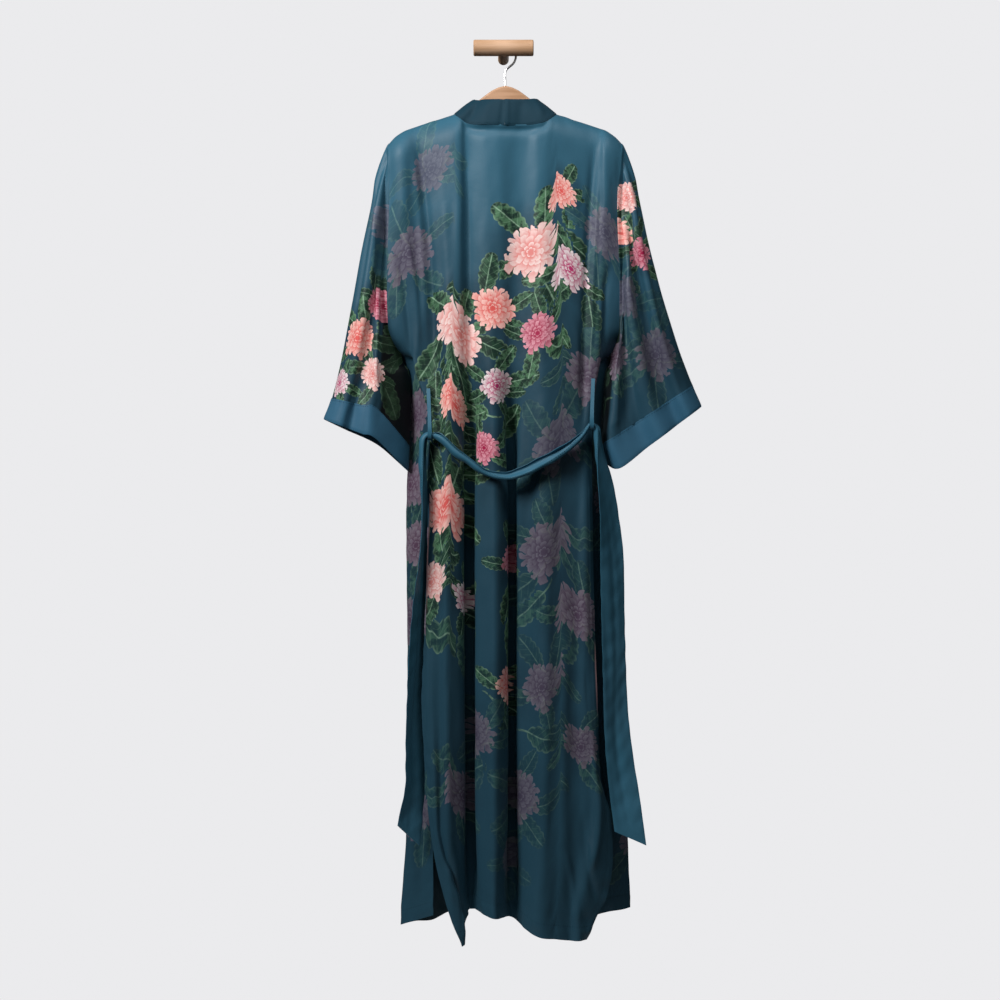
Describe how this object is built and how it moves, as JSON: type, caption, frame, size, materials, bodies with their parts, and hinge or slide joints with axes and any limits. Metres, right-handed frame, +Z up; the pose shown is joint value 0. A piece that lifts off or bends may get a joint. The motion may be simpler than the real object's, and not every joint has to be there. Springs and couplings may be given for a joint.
{
  "type": "long kimono robe on a wooden hanger with wall peg",
  "caption": "Long satin kimono robe with wide sleeves, neckband and tie belt, hanging on a wooden hanger from a T-shaped wall peg.",
  "frame": {"origin": "centre of the peg stem's flat end, where it meets the wall", "axes": "+Z up, +Y into the wall, so the robe's back faces -Y; -X is the wearer's left"},
  "size_m": [0.613, 0.14, 1.4573],
  "materials": {
    "satin_panel": "dark teal satin with a large printed flower pattern",
    "satin_band": "plain teal satin, folded double and edge-stitched",
    "satin_belt": "plain teal satin, folded double and edge-stitched",
    "wood_hanger": "smooth clear-varnished light wood",
    "steel_hook": "bright plated steel wire",
    "wood_peg": "plain sanded beech with a light oil"
  },
  "bodies": {
    "root": {"back_panel_upper": "satin_panel", "back_panel_middle": "satin_panel", "back_panel_lower": "satin_panel", "front_left_upper": "satin_panel", "front_left_middle": "satin_panel", "front_left_lower": "satin_panel", "front_right_upper": "satin_panel", "front_right_middle": "satin_panel", "front_right_lower": "satin_panel", "sleeve_left_upper": "satin_panel", "sleeve_left_lower": "satin_panel", "sleeve_right_upper": "satin_panel", "sleeve_right_lower": "satin_panel", "cuff_left": "satin_band", "cuff_right": "satin_band", "neckband_left": "satin_band", "neckband_right": "satin_band", "belt_tail_left": "satin_belt", "belt_back": "satin_belt", "belt_tail_right": "satin_belt", "belt_loop_left": "satin_belt", "belt_loop_right": "satin_belt", "hanger": "wood_hanger", "hanger_hook": "steel_hook", "peg_bar": "wood_peg", "peg_stem": "wood_peg"}
  },
  "joints": []
}
